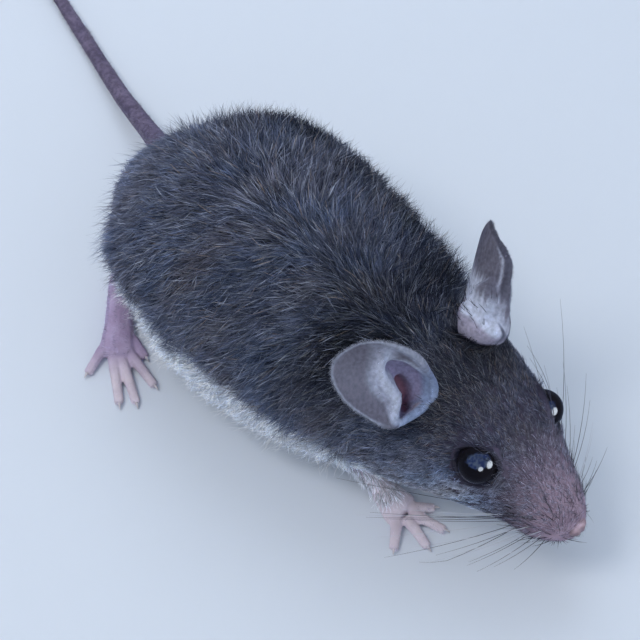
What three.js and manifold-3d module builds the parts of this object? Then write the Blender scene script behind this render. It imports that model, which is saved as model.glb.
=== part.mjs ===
// A young deer mouse, life size, crouching on all four feet with its tail laid out behind it.
// Millimetres, +Z up. The mouse faces -Y and +X is its left side. The solids reach to the tips
// of the coat, and thin cuts part the body into head, neck, trunk, legs and tail.
import * as THREE from 'three';
import { mergeVertices } from 'three/addons/utils/BufferGeometryUtils.js';
import Module from 'manifold-3d';

const wasm = await Module();
wasm.setup();

// Driving sizes
const gap = 0.3;              // width of each parting cut
const reach = 200;            // larger than the animal, for cutting boxes
const backHeight = 29.8;      // top of the coat above the floor
const trunkHalfWidth = 16.9;
const bellyClearance = 1.3;
const trunkShift = -1.4;      // the trunk lies a little to the right of the head's mid-plane
const headLength = 24.5;      // neck cut to nose
const noseY = -45.6;
const noseZ = 9.6;
const eye = { radius: 2.3, side: 5.3, y: -34, z: 17.6 };
const ear = { length: 12.8, halfWidth: 5.2, thickness: 0.7, side: 4.2, outward: 2, y: -24.7, z: 23.6 };
const hindFootLength = 18.5;
const tail = { root: 1.75, tip: 0.5 };

// Colours of the coat and the bare skin
const finish = (color, roughness) =>
  new THREE.MeshStandardMaterial({ color, roughness, metalness: 0 });
const coatDark = () => finish(0x4a4d58, 0.9);
const coatGrey = () => finish(0x5b5f6c, 0.9);
const skinPink = () => finish(0xc9aeb4, 0.6);
const earSkin = () => finish(0x8f8a94, 0.7);
const tailSkin = () => finish(0x9a8088, 0.7);
const eyeBlack = () => finish(0x08080a, 0.1);
const noseSkin = () => finish(0xa87c80, 0.5);

const v3 = (x, y, z) => new THREE.Vector3(x, y, z);

function solidOf(geometry) {
  geometry.deleteAttribute('normal');
  geometry.deleteAttribute('uv');
  const merged = mergeVertices(geometry, 1e-4);
  return new wasm.Manifold(new wasm.Mesh({
    numProp: 3,
    vertProperties: new Float32Array(merged.attributes.position.array),
    triVerts: new Uint32Array(merged.index.array),
  }));
}

function union(solids) {
  return solids.reduce((whole, piece) => whole.add(piece));
}

function largest(solid) {
  return solid.decompose().sort((a, b) => b.volume() - a.volume())[0];
}

function meshOf(name, solid, material) {
  const { vertProperties, triVerts } = solid.getMesh();
  const geometry = new THREE.BufferGeometry();
  geometry.setAttribute('position', new THREE.BufferAttribute(new Float32Array(vertProperties), 3));
  geometry.setIndex(new THREE.BufferAttribute(new Uint32Array(triVerts), 1));
  geometry.computeVertexNormals();
  const mesh = new THREE.Mesh(geometry, material);
  mesh.name = name;
  return mesh;
}

// A closed form lofted through stations: each has its middle, its half width, and how far it
// reaches up and down. squareness 2 gives ellipses, more gives fuller sections, and the lower
// half may be fuller than the upper. roundTo is the share of the length over which each end
// closes. clear makes the same form larger all round.
function loft(stations, options = {}) {
  const { around = 12, along = 10, squareness = 2, lowSquareness = squareness, roundTo = 0.1, clear = 0 } = options;
  const spine = new THREE.CatmullRomCurve3(stations.map((s) => v3(...s.at)));
  const sizes = new THREE.CatmullRomCurve3(stations.map((s) => v3(s.wide, s.up, s.down ?? s.up)));
  const geometry = new THREE.SphereGeometry(1, around, along);
  const position = geometry.attributes.position;
  for (let i = 0; i < position.count; i++) {
    const unit = v3().fromBufferAttribute(position, i);
    const t = (1 - THREE.MathUtils.clamp(unit.y, -1, 1)) / 2;
    const pole = Math.abs(unit.y) > 1 - 1e-9;
    const nearEnd = Math.min(1, Math.min(t, 1 - t) / roundTo);
    const closing = pole ? 0 : Math.sqrt(1 - (1 - nearEnd) ** 2);
    const angle = Math.atan2(unit.z, unit.x);
    const size = sizes.getPoint(t).multiplyScalar(closing).addScalar(pole ? 0 : clear);
    const tangent = spine.getTangent(t);
    const side = v3(0, 0, 1).cross(tangent).normalize();
    const up = tangent.clone().cross(side);
    const power = 2 / (Math.sin(angle) > 0 ? squareness : lowSquareness);
    const across = Math.sign(Math.cos(angle)) * Math.abs(Math.cos(angle)) ** power * size.x;
    const height = Math.sin(angle) > 0 ? size.y : size.z;
    const rise = Math.sign(Math.sin(angle)) * Math.abs(Math.sin(angle)) ** power * height;
    const point = spine.getPoint(t).addScaledVector(side, across).addScaledVector(up, rise);
    if (pole) point.addScaledVector(tangent, (t < 0.5 ? -1 : 1) * clear);
    position.setXYZ(i, point.x, point.y, point.z);
  }
  const solid = solidOf(geometry);
  return solid.volume() > 0 ? solid : turnedOut(geometry);
}

function turnedOut(geometry) {
  const index = geometry.index.array;
  for (let i = 0; i < index.length; i += 3) [index[i], index[i + 1]] = [index[i + 1], index[i]];
  return solidOf(geometry);
}

function ellipsoid({ at, radii, turn = [0, 0, 0], around = 16, along = 12, clear = 0 }) {
  const geometry = new THREE.SphereGeometry(1, around, along);
  geometry.scale(...radii.map((r) => r + clear));
  const matrix = new THREE.Matrix4().makeRotationFromEuler(new THREE.Euler(...turn));
  geometry.applyMatrix4(matrix.setPosition(...at));
  return solidOf(geometry);
}

function box(size, at, turn = [0, 0, 0]) {
  const geometry = new THREE.BoxGeometry(...size);
  const matrix = new THREE.Matrix4().makeRotationFromEuler(new THREE.Euler(...turn));
  geometry.applyMatrix4(matrix.setPosition(...at));
  return solidOf(geometry);
}

// The part of a solid between two planes across the body
function between(solid, backY, frontY) {
  const length = backY - frontY - gap;
  return solid.intersect(box([reach, length, reach], [0, (backY + frontY) / 2, 0]));
}

function onFloor(solid) {
  return solid.subtract(box([reach, reach, reach], [0, 0, -reach / 2]));
}

// Trunk, neck and head are one form from the rump to the tip of the snout. The trunk is widest
// a little below its middle height.
const widestDrop = 2.4;
const backCentre = (backHeight + bellyClearance) / 2 - widestDrop;
const wideUp = backHeight - backCentre;
const wideDown = backCentre - bellyClearance;
const axialStations = [
  { at: [2.2, 26.4, 9.4], wide: 1, up: 1, down: 1 },
  { at: [2, 25.4, 9.6], wide: 4.2, up: 3.5, down: 4 },
  { at: [1.2, 22.6, 10.8], wide: 8.2, up: 7.1, down: 7.6 },
  { at: [-0.4, 17.6, 12.1], wide: 12.2, up: 11.6, down: 10.4 },
  { at: [trunkShift + 0.6, 11, backCentre], wide: trunkHalfWidth - 0.9, up: wideUp - 1,
    down: wideDown - 0.3 },
  { at: [trunkShift, 3, backCentre], wide: trunkHalfWidth, up: wideUp, down: wideDown },
  { at: [trunkShift, -7, 13.4], wide: trunkHalfWidth - 0.9, up: 15.2, down: 11.7 },
  { at: [-0.8, -15, 13.4], wide: 14.3, up: 13, down: 10.8 },
  { at: [-0.4, -21, 13.4], wide: 12.2, up: 10.8, down: 9.1 },
  { at: [0, -27, 12.9], wide: 10.4, up: 10.6, down: 6.8 },
  { at: [0, -33, 12.4], wide: 7.9, up: 8.9, down: 5.5 },
  { at: [0, -38, 11.4], wide: 5.6, up: 6.5, down: 4.2 },
  { at: [0, -42, 10.4], wide: 3.9, up: 4.2, down: 3.5 },
  { at: [0, -44.3, 9.8], wide: 2.5, up: 2.3, down: 2.5 },
  { at: [0, noseY, noseZ], wide: 0.8, up: 0.8, down: 0.8 },
];
const axial = (clear = 0) =>
  loft(axialStations, { around: 22, along: 28, squareness: 2.2, lowSquareness: 3.4, roundTo: 0.004, clear });

// Lower jaw, set back under the snout
const jaw = (clear = 0) =>
  ellipsoid({ at: [0, -37, 7], radii: [3.1, 5.6, 2.2], turn: [-0.14, 0, 0], around: 12, along: 8, clear });

const nosePad = (clear = 0) =>
  ellipsoid({ at: [0, noseY + 0.75, noseZ + 0.7], radii: [1.35, 0.95, 1.05], around: 10, along: 6, clear });

const eyeball = (side, clear = 0) =>
  ellipsoid({ at: [side * eye.side, eye.y, eye.z], radii: [eye.radius, eye.radius, eye.radius],
    around: 12, along: 8, clear });

// An ear is an egg-shaped sheet rolled round its own length into a cup that opens forwards and
// outwards. turn swings the cup round its length, and lean lays it back.
function earCup(side, turn, lean) {
  const axis = v3(side * 0.54, 0.5 + lean, 0.676).normalize();
  const face = v3(side * 0.6, -0.78, 0.12);
  face.addScaledVector(axis, -face.dot(axis)).normalize().applyAxisAngle(axis, -side * turn);
  const across = axis.clone().cross(face);
  const buried = 2;           // length of the root inside the head
  const rollRadius = 6.1;
  const rootWidening = 0.2;
  const geometry = new THREE.SphereGeometry(1, 18, 9);
  const position = geometry.attributes.position;
  for (let i = 0; i < position.count; i++) {
    const unit = v3().fromBufferAttribute(position, i);
    const angle = Math.atan2(unit.z, unit.x);
    const radial = Math.hypot(unit.x, unit.z);
    const widening = 1 + rootWidening * Math.max(0, -Math.sin(angle)) ** 2;
    const sheetX = radial * Math.cos(angle) * ear.halfWidth * widening + side * ear.outward;
    const sheetY = (1 + radial * Math.sin(angle)) * (ear.length + buried) / 2 - buried;
    const layer = Math.sign(unit.y) * Math.sqrt(Math.max(0, 1 - radial ** 6)) * ear.thickness / 2;
    const rolled = sheetX / rollRadius;
    const radius = rollRadius - layer;
    const point = v3(side * ear.side, ear.y, ear.z)
      .addScaledVector(axis, sheetY)
      .addScaledVector(across, radius * Math.sin(rolled))
      .addScaledVector(face, rollRadius - radius * Math.cos(rolled));
    position.setXYZ(i, point.x, point.y, point.z);
  }
  const solid = solidOf(geometry);
  return solid.volume() > 0 ? solid : turnedOut(geometry);
}

// Legs: the upper part is a bulge of the coat, and the foot comes out from under it
const thigh = (side, clear = 0) =>
  ellipsoid({ at: [trunkShift + side * 9.6, 13.2, 14.4], radii: [6, 9, 7.6],
    turn: [0, 0, side * 0.3], around: 12, along: 9, clear });

// The shank comes down out of the coat to the top of the heel
function shank(side, heel, clear = 0) {
  return loft([
    { at: [trunkShift + side * 9.5, 12, 8], wide: 4, up: 4 },
    { at: [(trunkShift + side * 9.5 + heel.x) / 2, 17, 6.8], wide: 3.3, up: 3 },
    { at: [heel.x, heel.y - 1.2, 4.4], wide: 2, up: 1.9 },
  ], { around: 10, along: 7, roundTo: 0.25, clear });
}

const shoulder = (side, clear = 0) =>
  ellipsoid({ at: [-0.8 + side * 9.3, -13.6, 9.8], radii: [5, 6.2, 7.4], around: 12, along: 8, clear });

function forearm(side, wrist, clear = 0) {
  return loft([
    { at: [side * 9.6, -14, 7], wide: 3, up: 3 },
    { at: [(side * 9.6 + wrist.x) / 2, (wrist.y - 14) / 2, 5], wide: 2.5, up: 2.4 },
    { at: [wrist.x, wrist.y, wrist.z], wide: 1.7, up: 1.5 },
  ], { along: 8, roundTo: 0.2, clear });
}

// A toe runs from the foot over a raised knuckle to a pad on the floor
function toe(from, tip, thickness) {
  const along = (t, z) => from.clone().lerp(tip, t).setZ(z * thickness).toArray();
  const size = (wide, up) => ({ wide: wide * thickness, up: up * thickness });
  return loft([
    { at: along(0, 1.1), ...size(1.15, 1) },
    { at: along(0.4, 1.35), ...size(1.05, 1) },
    { at: along(0.72, 0.85), ...size(0.85, 0.8) },
    { at: along(1, 0.62), ...size(1, 0.75) },
  ], { around: 6, along: 6, roundTo: 0.1 });
}

function forefoot(wrist, palm, toeTips) {
  const along = (t, z) => wrist.clone().lerp(palm, t).setZ(z).toArray();
  const pad = loft([
    { at: along(0, wrist.z), wide: 1.6, up: 1.4 },
    { at: along(0.5, 2), wide: 1.75, up: 1.3 },
    { at: along(1, 0.95), wide: 2.3, up: 1.15 },
    { at: along(1.3, 0.75), wide: 2.3, up: 0.9 },
  ], { around: 10, along: 7, roundTo: 0.14 });
  const toes = toeTips.map(([x, y]) => {
    const tip = v3(x, y, 0);
    return toe(palm.clone().lerp(tip, 0.22), tip, 0.62);
  });
  return onFloor(union([pad, ...toes]));
}

// Each hind toe's start and tip: distance ahead of the heel, and out from the sole's middle line
const hindToes = [
  { start: 9.6, startOut: 1.2, end: 14.1, endOut: 3.7 },
  { start: 11, startOut: 0.7, end: hindFootLength, endOut: -0.5 },
  { start: 11.2, startOut: -0.2, end: hindFootLength - 0.1, endOut: -2.6 },
  { start: 10.8, startOut: -1, end: hindFootLength - 2.6, endOut: -4.8 },
  { start: 8.8, startOut: -1.3, end: 11.8, endOut: -3.5 },
];

// Hind foot: heel on the floor, long sole, and toes that fan out from the front of the sole.
// heading is the foot's angle outwards from straight ahead.
function hindFoot(side, heel, heading) {
  const forward = v3(side * Math.sin(heading), -Math.cos(heading), 0);
  const outward = v3(side * Math.cos(heading), Math.sin(heading), 0);
  const point = (ahead, out, z) => heel.clone()
    .addScaledVector(forward, ahead).addScaledVector(outward, out).setZ(z).toArray();
  const sole = loft([
    { at: point(0, 0, 1.8), wide: 1.4, up: 2.1 },
    { at: point(3, 0, 1.4), wide: 1.5, up: 1.7 },
    { at: point(7.5, 0, 1.1), wide: 1.75, up: 1.4 },
    { at: point(10.4, 0, 1), wide: 2.15, up: 1.25 },
    { at: point(12, 0, 0.85), wide: 2.1, up: 1.05 },
  ], { around: 8, along: 8, roundTo: 0.1 });
  const toes = hindToes.map(({ startOut, start, endOut, end }) =>
    toe(v3(...point(start, startOut, 0)), v3(...point(end, endOut, 0)), 0.62));
  return onFloor(union([sole, ...toes]));
}

// Tail, dropping from the rump to the floor and lying there. The route gives the height of the
// tail's underside.
const tailRoute = new THREE.CatmullRomCurve3([
  v3(2.6, 24.5, 7.8), v3(4.4, 29.6, 6), v3(6.2, 34, 3.5), v3(8.8, 42.2, 0.9), v3(11.5, 50.6, 0),
  v3(14.4, 60.6, 0), v3(17.2, 70, 0), v3(18.6, 79, 0), v3(18.8, 86, 0),
]);
function tailTube() {
  const stations = [];
  const steps = 16;
  const sunk = 0.1;           // share of the radius pressed flat on the floor
  for (let i = 0; i <= steps; i++) {
    const t = i / steps;
    const radius = THREE.MathUtils.lerp(tail.root, tail.tip, t ** 0.8);
    const point = tailRoute.getPoint(t);
    stations.push({ at: [point.x, point.y, point.z + radius * (1 - sunk)], wide: radius, up: radius });
  }
  return onFloor(loft(stations, { around: 8, along: 24, roundTo: 0.006 }));
}

// Parting
const legs = [
  { name: 'right', side: -1, wrist: v3(-9.1, -22.4, 3.1), palm: v3(-8.9, -25.6, 0),
    foreToes: [[-13.1, -28.9], [-10, -31.6], [-6.9, -31.4], [-5.6, -28.5]],
    heel: v3(-9.9, 21.9, 0), heading: 0.785, earTurn: 0.28, earLean: 0.04 },
  { name: 'left', side: 1, wrist: v3(9.3, -20.8, 3.1), palm: v3(9.1, -24, 0),
    foreToes: [[13.2, -27.2], [10.2, -30], [7.1, -29.9], [5.7, -27]],
    heel: v3(7.8, 21, 0), heading: 0.6, earTurn: -0.97, earLean: -0.24 },
];
const cut = { rump: 17, belly: -2, chest: -15.5, neck: noseY + headLength };

const foreLegs = legs.map((leg) => (clear) =>
  union([shoulder(leg.side, clear), forearm(leg.side, leg.wrist, clear)]));
const hindLegs = legs.map((leg) => (clear) =>
  union([thigh(leg.side, clear), shank(leg.side, leg.heel, clear)]));
const allLegsClear = union([...foreLegs, ...hindLegs].map((leg) => leg(gap)));
const coatClear = union([axial(gap), jaw(gap), allLegsClear]);
const torso = axial().subtract(allLegsClear);

const head = [eyeball(-1, gap), eyeball(1, gap), jaw(gap), nosePad(gap)]
  .reduce((solid, hollow) => solid.subtract(hollow), between(torso, cut.neck, noseY - reach));

const mouse = new THREE.Group();
function addPart(name, solid, material) {
  mouse.add(meshOf(name, largest(solid), material));
}

addPart('rump', between(torso, reach, cut.rump), coatDark());
addPart('belly', between(torso, cut.rump, cut.belly), coatDark());
addPart('chest', between(torso, cut.belly, cut.chest), coatDark());
addPart('neck', between(torso, cut.chest, cut.neck), coatDark());
addPart('head', head, coatGrey());
addPart('lower_jaw', jaw(), skinPink());
addPart('nose', nosePad(), noseSkin());

for (const [i, leg] of legs.entries()) {
  addPart(`eye_${leg.name}`, eyeball(leg.side), eyeBlack());
  const cup = earCup(leg.side, leg.earTurn, leg.earLean);
  addPart(`ear_${leg.name}`, cup.subtract(coatClear), earSkin());
  addPart(`foreleg_${leg.name}`, foreLegs[i](0), coatGrey());
  const paw = forefoot(leg.wrist, leg.palm, leg.foreToes);
  addPart(`forefoot_${leg.name}`, paw.subtract(coatClear), skinPink());
  addPart(`hindleg_${leg.name}`, hindLegs[i](0), coatGrey());
  const longFoot = hindFoot(leg.side, leg.heel, leg.heading);
  addPart(`hindfoot_${leg.name}`, longFoot.subtract(coatClear), skinPink());
}

const wholeTail = largest(tailTube().subtract(coatClear));
const tailCuts = [reach, 68, 49, -reach];     // from the tip to the root
['tail_end', 'tail_middle', 'tail_base'].forEach((name, i) =>
  addPart(name, between(wholeTail, tailCuts[i], tailCuts[i + 1]), tailSkin()));

// The origin is on the floor, under the middle of the whole animal
const bounds = new THREE.Box3().setFromObject(mouse);
const middle = bounds.getCenter(v3());
mouse.position.set(-middle.x, -middle.y, -bounds.min.z);
mouse.updateMatrixWorld(true);

export default mouse;
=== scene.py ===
import math
import bmesh
import bpy
import numpy as np
from mathutils import Matrix, Vector
from mathutils.bvhtree import BVHTree


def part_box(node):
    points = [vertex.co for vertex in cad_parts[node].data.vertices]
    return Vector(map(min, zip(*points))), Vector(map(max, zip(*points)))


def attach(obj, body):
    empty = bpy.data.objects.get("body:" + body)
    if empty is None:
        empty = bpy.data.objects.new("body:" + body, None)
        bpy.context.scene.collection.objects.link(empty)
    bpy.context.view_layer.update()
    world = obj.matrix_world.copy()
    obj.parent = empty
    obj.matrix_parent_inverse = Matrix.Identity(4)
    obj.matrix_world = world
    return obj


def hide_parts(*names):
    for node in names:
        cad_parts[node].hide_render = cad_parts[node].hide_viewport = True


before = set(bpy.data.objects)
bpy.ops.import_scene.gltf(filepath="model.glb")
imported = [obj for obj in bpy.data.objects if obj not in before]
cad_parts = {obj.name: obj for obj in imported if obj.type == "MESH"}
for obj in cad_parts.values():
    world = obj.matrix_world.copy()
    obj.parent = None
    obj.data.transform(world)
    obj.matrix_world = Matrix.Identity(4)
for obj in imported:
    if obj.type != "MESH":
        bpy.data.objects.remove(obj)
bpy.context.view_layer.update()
mm = 0.001
rng = np.random.default_rng(11)
sides = {"right": -1, "left": 1}

# Sizes below are millimetres from home: x from the head's mid-plane, y back along the body,
# z up from the floor. The mouse faces -y.
eyeMiddle = {side: sum(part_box("eye_" + side), Vector()) / 2 for side in sides}
home = (eyeMiddle["right"] + eyeMiddle["left"]) / 2 + Vector((0, 34, -17.6)) * mm
homeRow = np.array(home)
eyeShift = {"right": (0.1, 0.25, 0.4), "left": (-0.2, -0.1, -0.15)}
for side in sides:  # the eyes sit in the skin a little off the middles of the sockets
    eyeMiddle[side] += Vector(eyeShift[side]) * mm


def at(x, y, z):
    return home + Vector((x, y, z)) * mm


def toLocal(points):
    return (np.asarray(points, float) - homeRow) / mm


def toScene(points):
    return np.asarray(points, float) * mm + homeRow


def ease(value, low, high):
    t = np.clip((value - low) / (high - low), 0, 1)
    return t * t * (3 - 2 * t)


def fade(value, low, high):
    return 1 - ease(value, low, high)


def hump(value, middle, width):  # 1 at the middle, falling away on both sides
    return np.exp(-((value - middle) / width) ** 2)


def ripple(points, size, seed=0):  # smooth wandering values from -1 to 1
    total = np.zeros(len(points))
    turns = np.random.default_rng(seed)
    for i in range(5):
        way = turns.normal(size=3)
        way *= (0.7 + 0.35 * i) / (np.linalg.norm(way) * size)
        total += np.sin(points @ way * 6.283 + turns.uniform(0, 6.283))
    return total / 3.2


def unit(vectors):
    return vectors / np.maximum(np.linalg.norm(vectors, axis=1, keepdims=True), 1e-9)


# small mesh helpers
def toMesh(bm, name):
    mesh = bpy.data.meshes.new(name)
    bm.to_mesh(mesh)
    bm.free()
    return mesh


def linked(name, data):
    made = bpy.data.objects.new(name, data)
    bpy.context.scene.collection.objects.link(made)
    return made


def evaluated(piece):
    depsgraph = bpy.context.evaluated_depsgraph_get()
    return bpy.data.meshes.new_from_object(piece.evaluated_get(depsgraph))


def newObject(name, mesh, material=None, smooth=True):
    piece = linked(name, mesh)
    if material:
        mesh.materials.append(material)
    if smooth:
        mesh.polygons.foreach_set("use_smooth", np.ones(len(mesh.polygons), bool))
    return piece


def copyOf(node, grow=0.0):
    bm = bmesh.new()
    bm.from_mesh(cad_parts[node].data)
    bmesh.ops.remove_doubles(bm, verts=bm.verts, dist=1e-6)
    bm.normal_update()
    for v in bm.verts:
        v.co += v.normal * grow * mm
    return bm


def joined(parts):
    whole = bmesh.new()
    for part in parts:
        whole.from_mesh(toMesh(part, "part"))
    return whole


def smoothed(bm, verts, times):
    for _ in range(times):
        bmesh.ops.smooth_vert(bm, verts=verts, factor=0.5, use_axis_x=True, use_axis_y=True, use_axis_z=True)


def clay(bm, voxel):  # one closed surface round everything in bm
    lump = linked("clay", toMesh(bm, "clay"))
    remesh = lump.modifiers.new("remesh", "REMESH")
    remesh.mode = "VOXEL"
    remesh.voxel_size = voxel * mm
    mesh = evaluated(lump)
    bpy.data.objects.remove(lump)
    result = bmesh.new()
    result.from_mesh(mesh)
    return result


def ball(centre, radii, turn=(0, 0, 0), detail=3):
    bm = bmesh.new()
    bmesh.ops.create_icosphere(bm, subdivisions=detail, radius=1)
    bmesh.ops.scale(bm, vec=Vector(radii) * mm, verts=bm.verts)
    turned = Matrix.Rotation(turn[2], 3, "Z") @ Matrix.Rotation(turn[0], 3, "X")
    bmesh.ops.rotate(bm, cent=(0, 0, 0), matrix=turned, verts=bm.verts)
    bmesh.ops.translate(bm, vec=at(*centre), verts=bm.verts)
    return bm


def splinePoints(knots, count):
    knots = np.asarray(knots, float)
    padded = np.vstack([2 * knots[0] - knots[1], knots, 2 * knots[-1] - knots[-2]])
    result = []
    for t in np.linspace(0, len(knots) - 1, count):
        i = min(int(t), len(knots) - 2)
        f = t - i
        a, b, c, d = padded[i:i + 4]
        result.append(0.5 * (2 * b + (c - a) * f + (2 * a - 5 * b + 4 * c - d) * f * f
                             + (3 * b - a - 3 * c + d) * f ** 3))
    return np.array(result)


def rod(points, radii, around=8):  # a closed tube through scene points
    bm = bmesh.new()
    rings = []
    points = [Vector(p) for p in points]
    side = None
    for i, point in enumerate(points):
        ahead = (points[min(i + 1, len(points) - 1)] - points[max(i - 1, 0)]).normalized()
        side = (side or ahead.orthogonal())
        side = (side - ahead * side.dot(ahead)).normalized()
        circle = bmesh.ops.create_circle(bm, segments=around, radius=radii[i], cap_ends=False)["verts"]
        place = Matrix((side, ahead.cross(side), ahead)).transposed().to_4x4()
        place.translation = point
        bmesh.ops.transform(bm, matrix=place, verts=circle)
        rings.append([e for e in bm.edges if e.verts[0] in circle and e.verts[1] in circle])
    for lower, upper in zip(rings, rings[1:]):
        bmesh.ops.bridge_loops(bm, edges=lower + upper)
    bmesh.ops.contextual_create(bm, geom=rings[0])
    bmesh.ops.contextual_create(bm, geom=rings[-1])
    bmesh.ops.recalc_face_normals(bm, faces=bm.faces)
    return bm


print("camera and light")
view = {"azimuth": -45, "elevation": 58, "distance": 300, "lens": 135, "aim": (3.53, 0, 0)}
turn, rise = math.radians(view["azimuth"]), math.radians(view["elevation"])
back = Vector((math.sin(turn) * math.cos(rise), -math.cos(turn) * math.cos(rise), math.sin(rise)))


def aimed(name, data, place, way):
    made = linked(name, data)
    made.location = place
    made.rotation_mode = "QUATERNION"
    made.rotation_quaternion = way.to_track_quat("-Z", "Y")
    return made


eyePoint = at(*view["aim"]) + back * view["distance"] * mm
camera = aimed("camera", bpy.data.cameras.new("camera"), eyePoint, -back)
camera.data.lens = view["lens"]
camera.data.sensor_width = 36
camera.data.clip_start = 0.01
camera.data.clip_end = 10
bpy.context.scene.camera = camera
bpy.context.scene.view_settings.view_transform = "Standard"


def newMaterial(name):
    material = bpy.data.materials.new(name)
    material.use_nodes = True
    return material, material.node_tree


def feed(tree, made, inputs):
    for key, value in inputs.items():
        if isinstance(value, bpy.types.NodeSocket):
            tree.links.new(value, made.inputs[key])
        else:
            made.inputs[key].default_value = value


def surface(tree, colour, roughness, specular, **more):
    shader = tree.nodes["Principled BSDF"]
    feed(tree, shader, {"Base Color": colour, "Roughness": roughness, "Specular IOR Level": specular, **more})


def node(tree, kind, inputs=None, **settings):
    made = tree.nodes.new("ShaderNode" + kind)
    for key, value in settings.items():
        setattr(made, key, value)
    feed(tree, made, inputs or {})
    return made


def noise(tree, scale, detail=2):
    place = node(tree, "TexCoord").outputs["Object"]
    return node(tree, "TexNoise", {"Vector": place, "Scale": scale, "Detail": detail}).outputs["Fac"]


def attribute(tree, name):
    return node(tree, "Attribute", attribute_name=name).outputs


def mixed(tree, factor, first, second, blend="MIX"):
    inputs = {0: factor, 6: first, 7: second}
    return node(tree, "Mix", inputs, data_type="RGBA", blend_type=blend).outputs[2]


def ramp(tree, factor, stops):
    made = node(tree, "ValToRGB", {"Fac": factor})
    elements = made.color_ramp.elements
    while len(elements) < len(stops):
        elements.new(0.5)
    for element, (place, colour) in zip(elements, stops):
        element.position = place
        element.color = colour
    return made.outputs["Color"]


def grey(value):
    return (value, value, value, 1)


def blotched(tree, source, dark, light):  # a colour that wanders between two tones
    return ramp(tree, source, [(0.3, (*dark, 1)), (0.7, (*light, 1))])


studio = {"sky": (0.80, 0.88, 1.0), "strength": 0.66, "floor": (0.66, 0.71, 0.78), "floorSize": 4}
mirrored = {  # what the eyes reflect: a patch of blue sky with leaves, dark ground round it, two glints
    "sky": (0.09, 0.18, 0.60), "leaves": (0.38, 0.55, 0.95), "dim": (0.012, 0.015, 0.024), "strength": 13,
    "right": (0.707, -0.707, 0.0), "up": (0.60, 0.60, 0.53), "above": (-0.375, -0.375, 0.848),
    "glint": (3.2, 3.6, 4.2),
    "glints": [((0.413, -0.867, 0.276), 0.940, 0.972), ((-0.435, -0.787, 0.442), 0.968, 0.986)],
}


def mirroredColour(tree):
    toward = node(tree, "TexCoord").outputs["Generated"]

    def facing(way):
        return node(tree, "VectorMath", {0: toward, 1: way}, operation="DOT_PRODUCT").outputs["Value"]

    def combined(operation, *values):
        return node(tree, "Math", dict(enumerate(values)), operation=operation).outputs[0]

    def ranged(value, low, high, clamp=True):
        limits = {"Value": value, "From Min": low, "From Max": high}
        return node(tree, "MapRange", limits, clamp=clamp).outputs["Result"]

    wide = combined("DIVIDE", facing(mirrored["right"]), 0.98)
    tall = ranged(facing(mirrored["up"]), 0.15, 0.87, clamp=False)
    spread = combined("MULTIPLY_ADD", tall, tall, combined("MULTIPLY", wide, wide))
    leaves = node(tree, "TexNoise", {"Vector": toward, "Scale": 3.2, "Detail": 3}).outputs["Fac"]
    spread = combined("MULTIPLY_ADD", leaves, 0.9, spread)
    patch = combined("MULTIPLY", ranged(spread, 1.42, 1.22), ranged(facing(mirrored["above"]), -0.1, 0.1))
    shade = ramp(tree, leaves, [(0.42, (*mirrored["sky"], 1)), (0.62, (*mirrored["leaves"], 1))])
    colour = mixed(tree, patch, (*mirrored["dim"], 1), shade)
    for way, low, high in mirrored["glints"]:
        colour = mixed(tree, ranged(facing(way), low, high), colour, (*mirrored["glint"], 1))
    return colour


def buildStudio():
    world = bpy.data.worlds.new("studio")
    bpy.context.scene.world = world
    world.use_nodes = True
    tree = world.node_tree
    plain = tree.nodes["Background"]
    feed(tree, plain, {"Color": (*studio["sky"], 1), "Strength": studio["strength"]})
    shiny = node(tree, "Background", {"Color": mirroredColour(tree), "Strength": mirrored["strength"]})
    glossy = node(tree, "LightPath").outputs["Is Glossy Ray"]
    both = node(tree, "MixShader", {0: glossy, 1: plain.outputs[0], 2: shiny.outputs[0]})
    tree.links.new(both.outputs[0], tree.nodes["World Output"].inputs["Surface"])
    bm = bmesh.new()
    bmesh.ops.create_grid(bm, x_segments=1, y_segments=1, size=studio["floorSize"] / 2)
    bmesh.ops.translate(bm, vec=(home.x, home.y, 0), verts=bm.verts)
    material, tree = newMaterial("pale_floor")
    surface(tree, (*studio["floor"], 1), 0.9, 0.1)
    floor = newObject("floor", toMesh(bm, "floor"), material, smooth=False)
    floor.visible_glossy = False
    lamps = {
        "key": {"place": (-150, 60, 340), "size": 150, "energy": 0.42, "colour": (1.0, 0.97, 0.94)},
        "soft": {"place": (170, 190, 380), "size": 320, "energy": 0.5, "colour": (0.82, 0.9, 1.0)},
        "spark": {"place": (139, -337, 115), "size": 60, "energy": 0.06, "colour": (0.9, 0.96, 1.0)},
    }
    for name, lamp in lamps.items():
        light = bpy.data.lights.new(name, "AREA")
        light.shape = "DISK"
        light.size = lamp["size"] * mm
        light.energy = lamp["energy"]
        light.color = lamp["colour"]
        place = at(*lamp["place"])
        aimed(name, light, place, at(0, -5, 12) - place).visible_glossy = name == "spark"


buildStudio()

print("ears")
ear = {"length": 12.8, "thickness": 0.55, "buried": 2.4, "roll": 6.1, "voxel": 0.18,
       "root": (4.2, -24.7, 23.6), "turn": {"right": 0.28, "left": -0.97},
       "lean": {"right": 0.04, "left": -0.24}}
# the last tone is the dark red of the ear canal, darkened as painted shadow under its overhanging fold
earTints = {"felt": (0.104, 0.099, 0.124), "pale": (0.43, 0.46, 0.56), "mauve": (0.235, 0.215, 0.315),
            "bloodInShade": (0.085, 0.035, 0.050)}


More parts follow.
